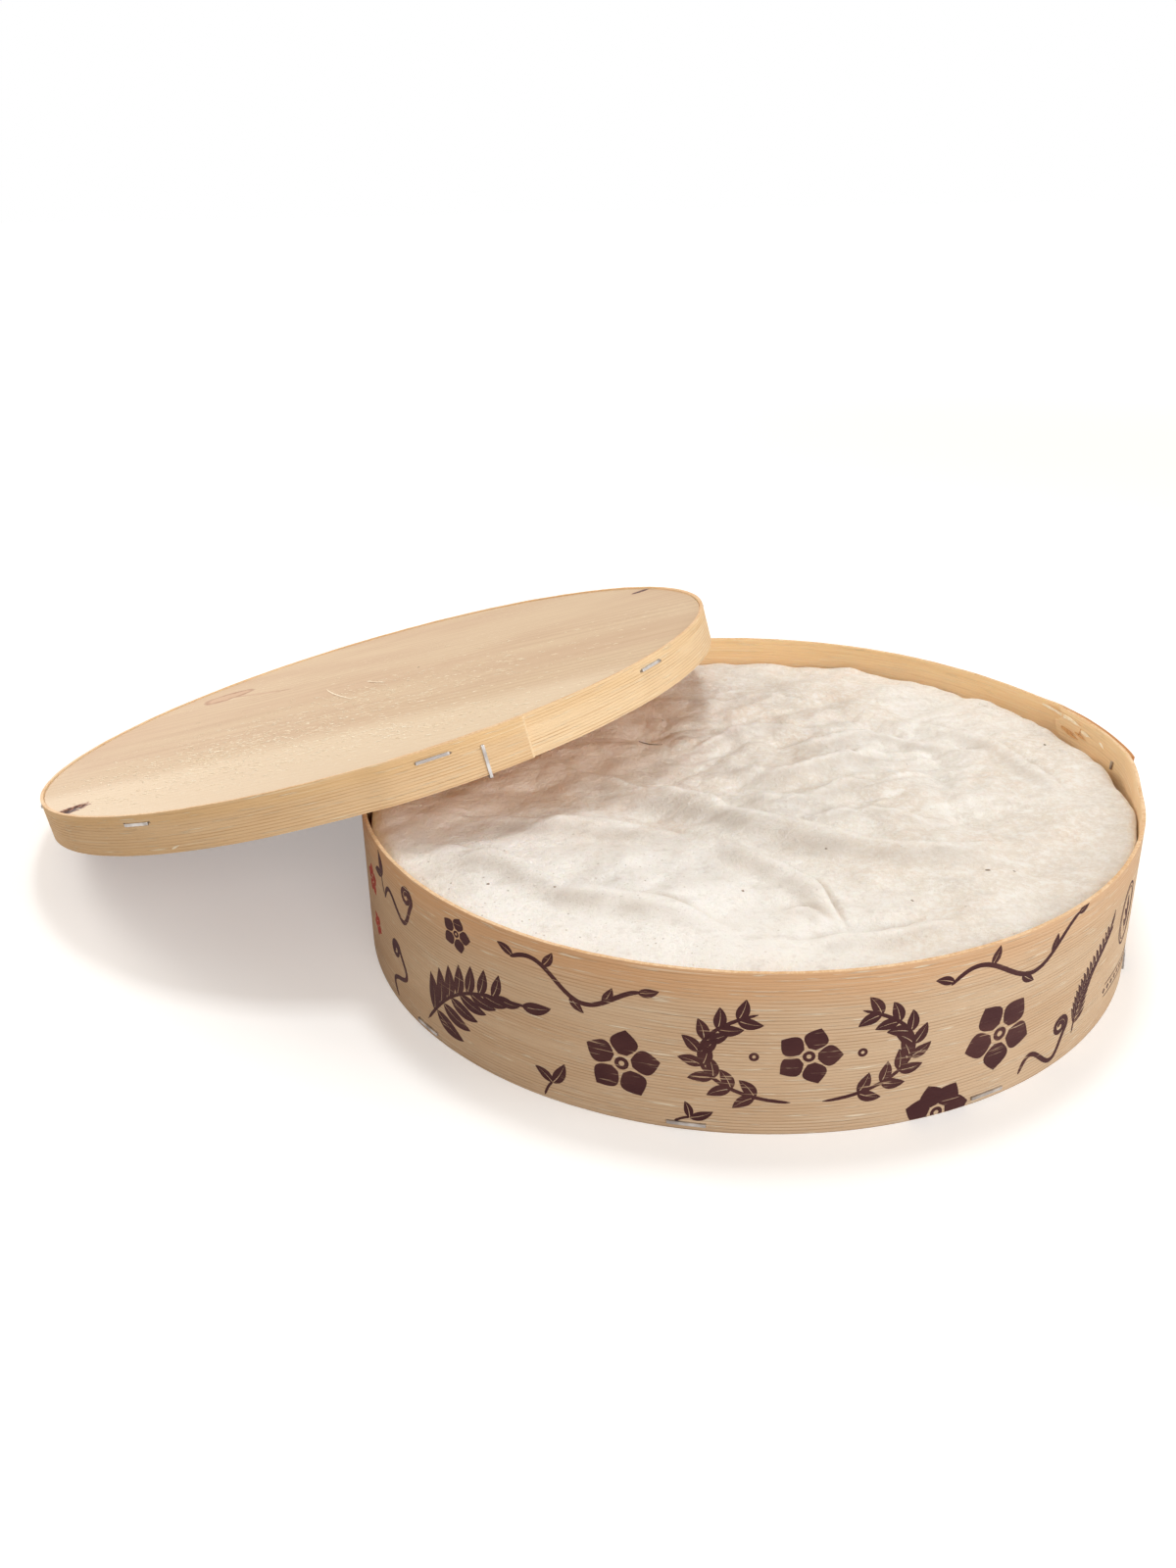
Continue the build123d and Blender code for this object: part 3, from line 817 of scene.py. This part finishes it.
def curveThrough(places, steps=10):
    ends = [2 * places[0] - places[1], *places, 2 * places[-1] - places[-2]]
    curve = []
    for before, start, end, after in zip(ends, ends[1:], ends[2:], ends[3:]):
        for step in range(steps):
            t = step / steps
            square = (2 * before - 5 * start + 4 * end - after) * t * t
            cube = (3 * start - before - 3 * end + after) * t ** 3
            curve.append(0.5 * (2 * start + (end - before) * t + square + cube))
    return np.array(curve + [places[-1]])


def foldAt(spots, shares):  # lift, and the masks that one fold gives each spot: painted shade down its slope, its crease, which is dug in and painted as shade, and a painted highlight along its crest
    heightShare, widthShare, places = shares
    crestLine = curveThrough([np.array(place) * cheeseSlab["widest"] for place in places])
    best = np.full(len(spots), 1.0)
    signed, way = np.zeros(len(spots)), np.zeros(len(spots))
    passed = 0
    for start, end in zip(crestLine, crestLine[1:]):
        step = end - start
        length = np.hypot(*step)
        share = np.clip(((spots - start) @ step) / length ** 2, 0, 1)
        gap = spots - start - share[:, None] * step
        distance = np.hypot(gap[:, 0], gap[:, 1])
        closer = distance < best
        best[closer] = distance[closer]
        turn = step[0] * gap[:, 1] - step[1] * gap[:, 0]
        signed[closer] = (np.sign(turn) * distance)[closer]
        way[closer] = (passed + share * length)[closer]
        passed += length
    taper = ease(np.minimum(way, passed - way) / passed / rindFolds["taperShare"])
    slope = ease(1 + signed / (rindFolds["width"] * widthShare))
    fall = 1 - ease(signed / rindFolds["back"])
    lift = rindFolds["height"] * heightShare * taper * np.where(signed < 0, slope, fall)
    foot = np.exp(-((signed - rindFolds["back"]) / rindFolds["creaseWidth"]) ** 2) * np.sqrt(taper)
    slopeShade = 4 * slope * (1 - slope) * (signed < 0) * taper
    crestHighlight = np.exp(-((signed + rindFolds["crestHighlightFrom"]) / rindFolds["crestHighlightWidth"]) ** 2) * taper
    return lift, *(sqrt(heightShare) * mark for mark in (slopeShade, foot, crestHighlight))


def bulged(angle, which):  # how far out the bulges reach, or how much rounder they make the edge
    total = 0
    for middle, reach, *more in cheeseSlab["bulges"]:
        total += more[which] * smooth(1 - abs((degrees(angle) - middle + 180) % 360 - 180) / reach)
    return total


def reachAt(angle):  # radius of the rind's edge
    shares = cheeseSlab["reachShares"]
    spot = degrees(angle) % 360 / 360 * len(shares)
    before, after = shares[int(spot) % len(shares)], shares[(int(spot) + 1) % len(shares)]
    return cheeseSlab["widest"] * (before + (after - before) * smooth(spot - int(spot))) + bulged(angle, 0)


def edgeRoundAt(angle):
    toBack = smooth((sin(angle - radians(15)) + 0.7) / 1.1)
    front, back = cheeseSlab["edgeRoundFront"], cheeseSlab["edgeRoundBack"]
    return front + (back - front) * toBack + bulged(angle, 1)


def rindPoint(co):  # square grid to a disc whose edge turns down
    x, y = 2 * co.x, 2 * co.y
    share = max(abs(x), abs(y))
    if share == 0:
        angle = 0
    elif abs(x) >= abs(y):
        angle = (pi / 4) * y / x + (pi if x < 0 else 0)
    else:
        angle = pi / 2 - (pi / 4) * x / y + (pi if y < 0 else 0)
    reach, bend = reachAt(angle), edgeRoundAt(angle)
    way = share * (reach - bend + bend * pi / 2)
    turn = max(0, (way - reach + bend) / bend)
    radius = reach - bend + bend * sin(turn) if turn else way
    fall = (cheeseSlab["back"] - cheeseSlab["front"]) / (2 * cheeseSlab["widest"])
    level = (cheeseSlab["back"] + cheeseSlab["front"]) / 2 - bend * (1 - cos(turn))
    spot = Vector((radius * cos(angle), radius * sin(angle), 0))
    (x, y), busyReach = rindRelief["busiest"]
    busy = smooth(1.15 - Vector((spot.x - x, (spot.y - y) * 1.3, 0)).length / busyReach)
    swell = rindRelief["broad"] * noise.noise(spot * 17) * smooth((1 - share) / 0.2)
    for often, height, more, shift in rindRelief["swells"]:
        swell += (height + more * busy) * noise.noise(spot * often + Vector(shift))
    bent = spot + rindRelief["bend"] * noise.noise_vector(spot * 19)
    calm, more = rindRelief["wrinkles"]
    swell += (calm + more * busy) * noise.noise(Vector((bent.x * 90, bent.y * 150, 2)))
    for often, depth, width in rindRelief["creases"]:
        crossing = noise.noise(Vector((bent.x * often * 0.75, bent.y * often * 1.1, often)))
        swell -= depth * max(0, 1 - abs(crossing) / width) ** 2 * (0.25 + 0.75 * busy)
    spot.z = level + fall * spot.y + swell * mm
    return spot


cheesePiece = freshGrid("cheeseRind", cheeseSlab["cells"], cheeseSlab["cells"])
moveVertices(cheesePiece, rindPoint)
rind = np.zeros(len(cheesePiece.data.vertices) * 3)
cheesePiece.data.vertices.foreach_get("co", rind)
rind = rind.reshape(-1, 3)
wavered = []
for x, y, _ in rind:
    off = noise.noise_vector(Vector((x, y, 0)) * 45)
    wavered.append((x + rindFolds["waver"] * off.x, y + rindFolds["waver"] * off.y))
wavered = np.array(wavered)
lifts = np.zeros(len(rind))
marks = np.zeros((len(rind), 3))
for shares in rindFolds["shares"]:
    lift, *mark = foldAt(wavered, shares)
    lifts = np.maximum(lifts, lift)
    marks = np.maximum(marks, np.array(mark).T)
rind[:, 2] += lifts - rindFolds["crease"] * marks[:, 1]
for place, rise, reach in rindDomes:
    off = np.hypot(*(rind[:, :2] - np.array(place) * cheeseSlab["widest"]).T) / reach
    rind[:, 2] += rise * np.exp(-off ** 2)
over = np.maximum(rind[:, 2] - cheeseSlab["flattenFrom"], 0)
rind[:, 2] += cheeseSlab["headroom"] * (1 - np.exp(-over / cheeseSlab["headroom"])) - over
cheesePiece.data.vertices.foreach_set("co", rind.ravel())
# masks of the folds for the rind's painted shade on slopes and in creases and painted highlight on crests
foldPaintedLight = cheesePiece.data.attributes.new("foldPaintedLight", "FLOAT_VECTOR", "POINT")
foldPaintedLight.data.foreach_set("vector", marks.ravel())


def selectRim():
    bpy.ops.mesh.select_all(action="DESELECT")
    bpy.ops.mesh.select_non_manifold()


def lowerRim(height, reach=None):  # extrudes the open rim to a height, and inwards to a reach
    selectRim()
    bpy.ops.mesh.extrude_region_move()
    bpy.ops.object.mode_set(mode="OBJECT")
    for vertex in cheesePiece.data.vertices:
        if vertex.select:
            far = hypot(vertex.co.x, vertex.co.y)
            share = min(reach, far - mm) / far if reach else 1
            vertex.co = (vertex.co.x * share, vertex.co.y * share, height)
    bpy.ops.object.mode_set(mode="EDIT")


alone(cheesePiece)
bpy.ops.object.mode_set(mode="EDIT")
lowerRim(cheeseSlab["coreTop"])
lowerRim(cheeseSlab["coreTop"], cheeseSlab["coreRadius"])
lowerRim(cheeseSlab["underside"])
selectRim()
bpy.ops.mesh.edge_face_add()
bpy.ops.mesh.select_all(action="SELECT")
bpy.ops.mesh.normals_make_consistent(inside=False)
bpy.ops.object.mode_set(mode="OBJECT")
smoothShade(cheesePiece, 50)

rindLook = {
    "white": tint(241, 236, 228), "cream": tint(236, 226, 213), "grey": tint(219, 213, 205),
    "blush": tint(237, 217, 199), "bloom": tint(250, 248, 243), "speck": tint(150, 134, 116),
    # shade: grey mottling, also painted shade down the fold slopes; crease: painted shade in the fold creases;
    # fuzz: white mould fuzz, also a painted highlight on the fold crests and the painted pools of light
    "greyAndPaintedShade": tint(206, 197, 187), "crease": tint(190, 172, 152), "fuzz": tint(255, 253, 249),
    # painted warm shadow, laid on the rind under the leaning lid
    "paintedWarmLidShadow": tint(250, 206, 146),
    "paintedLightPools": (  # place and reach of painted pools of light at the front, laid on as whiter rind, in shares of the widest radius, and how much
        ((-0.55, -0.72), 0.55, 1), ((-0.1, -0.8), 0.45, 0.6), ((-0.8, -0.4), 0.35, 0.8),
    ),
}


def rindFinish(name, look):
    finish = Finish(name)
    place = finish.objectPlace()
    across, deep, _ = finish.parts(place)
    broad = finish.noise(place, 16)
    patches = finish.noise(place, 45, 4, 0.6, move=(0.3, 0.1, 0))
    mottle = finish.noise(place, 420, 4, 0.7)
    creases = finish.noise(place, 190, 5, 0.62, by=(0.6, 1.2, 1), turn=(0, 0, 0.35))
    fuzz = finish.noise(place, 900, 3, 0.75, by=(1, 1.5, 1), move=(2, 1, 0))
    curds = finish.noise(place, 125, 4, 0.6, by=(1, 1.4, 1), move=(1, 0, 4))
    tone = finish.mix(finish.between(broad, 0.38, 0.64), look["white"], look["cream"])
    tone = finish.cover(tone, look, (patches, 0.5, 0.72, 0.45, "blush"), (patches, 0.5, 0.26, 0.45, "grey"))
    # painted pools of light: the rind made whiter at the front
    far = []
    for middle, reach, share in look["paintedLightPools"]:
        ways = [(way / cheeseSlab["widest"] - at) / reach for way, at in zip((across, deep), middle)]
        far.append((ways[0] ** 2 + ways[1] ** 2).math("SQRT") + (patches - 0.5) * 0.8)
        tone = finish.cover(tone, look, (far[-1], 1.2, 0.5, share, "fuzz"))
    specks = finish.dots(place, 190, 0.05, 0.13) * finish.between(patches, 0.52, 0.6)
    dust = finish.dots(place, 380, 0.07, 0.2) * finish.between(far[0], 0.95, 0.5)  # in the first painted pool of light
    # middle of the leaning lid, round which the painted warm shadow is laid
    x, y = (lidDistance * part for part in (cos(heading), sin(heading)))
    toLidShadow = ((across - x) ** 2 + (deep - y) ** 2).math("SQRT") + (broad - 0.5) * (30 * mm)
    # fold masks: painted shade on the slopes and in the creases, painted highlight on the crests
    folds = finish.node("Attribute", {"attribute_name": "foldPaintedLight"}, output="Vector")
    slope, foot, crestHighlight = finish.parts(folds)
    paintedShadingPatchiness = finish.between(finish.noise(place, 70), 0.3, 0.66)
    tone = finish.cover(
        tone, look, (mottle, 0.46, 0.64, 0.65, "bloom"), (mottle, 0.46, 0.3, 0.3, "greyAndPaintedShade"),
        (fuzz, 0.53, 0.68, 0.55, "fuzz"), (fuzz, 0.46, 0.32, 0.18, "greyAndPaintedShade"), (specks, 0.45, "speck"),
        (curds, 0.52, 0.7, 0.7, "bloom"), (curds, 0.48, 0.3, 0.4, "grey"),
        # next line: dust specks, then a painted warm shadow under the lid
        (dust * finish.between(curds, 0.42, 0.6), 0.65, "speck"), (toLidShadow, 165 * mm, 120 * mm, 0.2, "paintedWarmLidShadow"),
        # painted shade down the fold slopes and in the creases, painted highlight along the crests
        (slope, paintedShadingPatchiness * 0.35 + 0.4, "greyAndPaintedShade"), (foot, paintedShadingPatchiness * 0.5 + 0.25, "crease"),
        (crestHighlight, paintedShadingPatchiness * 0.4 + 0.25, "fuzz"),
    )
    relief = creases * 0.7 + mottle * 0.8 + fuzz * 0.4
    return finish.dress(tone, 0.75, relief, 1.2 * mm, 0.9, **glow(0.12, 4 * mm, 2.4 * mm, 1.4 * mm))


cheesePiece.data.materials.append(rindFinish("cheeseRindWhite", rindLook))
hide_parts("cheese")
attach(cheesePiece, "box")
print("cheese ripened")

# Small marks, torn fibres and painted shade in staple holes and a groove, each where the photograph shows it
smallThings = {
    "specks": ((1008, 888, 1.0), (1035, 889, 0.6), (931, 919, 0.6), (758, 909, 0.6), (1066, 760, 0.8),
               (676, 735, 0.5), (843, 866, 0.5), (566, 905, 0.5), (498, 902, 0.6)),  # pixel and radius, mm
    "crumbs": ((1006, 720, 1.3), (1013, 723, 1.0), (1000, 718, 0.9), (1018, 727, 0.8), (1082, 766, 0.8)),
    # a dark sliver for a small groove in the rind: painted shade
    "grooveShade": (((652, 757), (664, 761), (676, 761), 0.5),),
    "torn": (((1064, 718), (1074, 723), (1085, 729), 1.2), ((1077, 725), (1087, 731), (1098, 737), 1.8),
             ((1090, 732), (1096, 737), (1104, 742), 1.4), ((1103, 746), (1108, 750), (1114, 753), 1.6),
             ((1122, 758), (1125, 761), (1127, 764), 1.0)),
    "brown": (((1083, 741), (1089, 746), (1097, 749), 1.8), ((1088, 746), (1094, 751), (1101, 755), 1.4),
              ((1103, 744), (1103, 747), (1101, 750), 0.6), ((1097, 747), (1102, 751), (1109, 756), 1.1)),
    # dark lumps at the staple legs of the lid hoop: painted shade in the holes
    "holes": ((425, 780, 0.7), (459, 768, 0.7), (492, 761, 0.7), (127, 841, 0.7), (152, 839, 0.6),
              (654, 685, 0.7), (674, 674, 0.6)),
    "nick": (((176, 866), (180, 864), (185, 861), 0.9),),
    "boardSpeck": ((427, 681, 0.6),),
    "lift": 0.15 * mm, "thickness": 0.25 * mm,
}


def seenAt(piece, column, row):  # where the photograph's pixel falls on a piece, and how it faces there
    over, below = column - photoCamera["width"] / 2, row - photoCamera["height"] / 2
    way = photoCamera["focal"] * ahead + over * cameraRight - below * cameraUp
    hit, spot, facing, _ = piece.ray_cast(Vector(photoCamera["place"]), way.normalized())
    if not hit:
        raise ValueError(f"pixel {column}, {row} misses {piece.name}")
    return spot, facing


def settle(made, name, finish, rider):  # joins small things and puts them on a body
    whole = joinAll(made, name)
    whole.data.materials.append(finish)
    smoothShade(whole)
    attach(whole, rider)


def lumps(name, piece, spots, flat, finish, rider="box"):
    made = []
    for column, row, radius in spots:
        spot, facing = seenAt(piece, column, row)
        lump = fresh("lump", bpy.ops.mesh.primitive_ico_sphere_add, subdivisions=2, radius=1)
        turn = facing.to_track_quat("Z", "Y").to_matrix().to_4x4()
        size = Matrix.Diagonal((radius * mm, radius * 0.75 * mm, radius * flat * mm, 1))
        place = Matrix.Translation(spot) @ turn @ size
        moveVertices(lump, lambda co: place @ (co * (1 + 0.6 * noise.noise(co * 1.5 + spot * 900))))
        made.append(lump)
    settle(made, name, finish, rider)


def tornFibres(name, piece, strands, finish, rider="box"):
    made = []
    for *pixels, wide in strands:
        spots = [seenAt(piece, *pixel) for pixel in pixels]
        strand = freshGrid("strand", 8, 2)

        def lay(co):
            share = co.x + 0.5
            weights = ((1 - share) ** 2, 2 * share * (1 - share), share ** 2)
            middle = sum((weight * spot for weight, (spot, _) in zip(weights, spots)), Vector())
            facing = spots[1][1]
            across = (spots[2][0] - spots[0][0]).cross(facing).normalized()
            ragged = 0.35 * noise.noise(Vector((share * 9, co.y, spots[0][0].x * 99)))
            half = wide * mm * (sin(pi * min(0.12 + share, 1)) ** 0.7 * (0.8 + ragged) + 0.04)
            return middle + across * co.y * half + facing * (smallThings["lift"] + 0.4 * mm * share * share)

        moveVertices(strand, lay)
        modify(strand, "SOLIDIFY", thickness=smallThings["thickness"], offset=0)
        made.append(strand)
    settle(made, name, finish, rider)


speckFinish = cutEdge("rindSpeck", tint(150, 132, 112), tint(116, 100, 84))
crumbFinish = rindFinish("crumbWhite", rindLook)
brownFibre = cutEdge("brownFibre", tint(228, 180, 122), tint(204, 150, 96))
lumps("rindSpecks", cheesePiece, smallThings["specks"], 0.25, speckFinish)
lumps("rindCrumbs", cheesePiece, smallThings["crumbs"], 0.7, crumbFinish)
# painted shade of a small groove, as a dark sliver
tornFibres("rindGrooveShade", cheesePiece, smallThings["grooveShade"], speckFinish)
tornFibres("hoopSplinters", hoopPiece, smallThings["torn"], palest)
tornFibres("hoopBrownFibres", hoopPiece, smallThings["brown"], brownFibre)
# painted shade in the staple holes, as dark lumps
lumps("lidStapleHoleShade", lidHoopPiece, smallThings["holes"], 0.25, speckFinish, "lid")
lumps("lidBoardSpeck", lidBoardPiece, smallThings["boardSpeck"], 0.3, speckFinish, "lid")
tornFibres("lidNick", lidHoopPiece, smallThings["nick"], palest, "lid")
print("small marks laid")

# Wood and wire that the frame brings
def bastFinish(name):
    finish = Finish(name)
    place = finish.objectPlace()
    fibres = finish.noise(place, 1, 4, 0.6, by=(60, 60, 900))
    patches = finish.noise(place, 30, 2)
    deeper = finish.between(fibres * 0.7 + patches * 0.3, 0.35, 0.65)
    tone = finish.mix(deeper, tint(178, 120, 84), tint(128, 78, 54))
    return finish.dress(tone, 0.7, fibres, 0.2 * mm, 0.8)


def wireFinish(name):
    finish = Finish(name)
    place = finish.objectPlace()
    drawn = finish.noise(place, 2500, 2)
    dull = finish.noise(place, 140, 2)
    tone = finish.mix(finish.between(dull, 0.4, 0.62), tint(200, 196, 193), tint(154, 147, 143))
    return finish.dress(tone, finish.between(dull, 0.3, 0.7) * 0.15 + 0.3, drawn, 0.006 * mm, 0.5, Metallic=1.0)


baseWood = boardFinish("baseBoardWood", (0, 0, radians(70)))
bast = bastFinish("strapBast")
wire = wireFinish("stapleWire")
for name, node in nodes.items():
    finish = wire if "staple" in name else bast if name == "cheese_strap" else baseWood
    for slot in node.material_slots:
        slot.material = finish
print("frame pieces finished")

# Floor, light and camera
floorLook = {
    "size": 9, "colour": tint(236, 236, 236), "bounce": tint(178, 168, 156),
    "glow": 0.3, "farGlow": 1, "brighterFrom": (0.7, 2.6),  # metres from the middle
}
skyLook = {"strength": 0.42, "colour": (1, 0.84, 0.69, 1)}
lampAim = Vector((0, 0, 0.04))
lamps = (  # name, place, size, watts and colour
    ("lampOverhead", (0.05, 0.36, 1.62), 0.3, 8.3, (0.95, 0.985, 1)),
    ("lampLeft", (-1.05, 0.85, 0.6), 0.5, 8, (1, 0.95, 0.89)),
    ("lampRight", (1.5, -0.75, 0.75), 0.9, 12.5, (0.97, 0.99, 1)),
    ("lampFront", (0.4, -1.9, 0.9), 1.2, 14, (0.98, 0.99, 1)),
)


def rayMeets(finish):  # 1 for what the camera sees, also in metal and through glass
    kinds = ("Camera", "Glossy", "Transmission")
    return finish.most([finish.node("LightPath", output=f"Is {kind} Ray") for kind in kinds])


def onStage(name, data):  # hangs a lamp or the camera in the scene
    holder = bpy.data.objects.new(name, data)
    bpy.context.scene.collection.objects.link(holder)
    return holder


floor = fresh("floor", bpy.ops.mesh.primitive_plane_add, size=floorLook["size"])
floorFinish = Finish("paleFloor")
away = floorFinish.node("VectorMath", {"operation": "LENGTH"}, {0: floorFinish.objectPlace()}, output="Value")
brighter = floorFinish.between(away, *floorLook["brighterFrom"]) * floorLook["farGlow"] + floorLook["glow"]
matt = floorFinish.node("BsdfDiffuse", None, {"Color": floorLook["colour"]})
bounce = floorFinish.node("BsdfDiffuse", None, {"Color": floorLook["bounce"]})
glowing = floorFinish.node("Emission", None, {"Color": (1, 1, 1, 1), "Strength": brighter})
lit = floorFinish.node("AddShader", None, {0: matt, 1: glowing})
shown = floorFinish.node("MixShader", None, {0: rayMeets(floorFinish), 1: bounce, 2: lit})
floor.data.materials.append(floorFinish.show(shown))

room = Finish("paleRoom", "worlds")
ambient = room.node("Background", None, {"Color": skyLook["colour"], "Strength": skyLook["strength"]})
white = room.node("Background", None, {"Color": (1, 1, 1, 1)})
seen = room.node("MixShader", None, {0: rayMeets(room), 1: ambient, 2: white})
bpy.context.scene.world = room.show(seen, "World")

for name, place, size, watts, colour in lamps:
    light = bpy.data.lights.new(name, "AREA")
    light.energy, light.size, light.color = watts, size, colour
    holder = onStage(name, light)
    holder.location = place
    holder.rotation_euler = (lampAim - Vector(place)).to_track_quat("-Z", "Y").to_euler()

camera = bpy.data.cameras.new("photoCamera")
camera.sensor_width = 36
camera.lens = photoCamera["focal"] * camera.sensor_width / photoCamera["height"]
camera.clip_start, camera.clip_end = 0.01, 50
cameraHolder = onStage("photoCamera", camera)
cameraHolder.matrix_world = Matrix((cameraRight, cameraUp, -ahead)).transposed().to_4x4()
cameraHolder.location = photoCamera["place"]
bpy.context.scene.camera = cameraHolder
bpy.context.scene.view_settings.view_transform = "Standard"
print("stage lit")
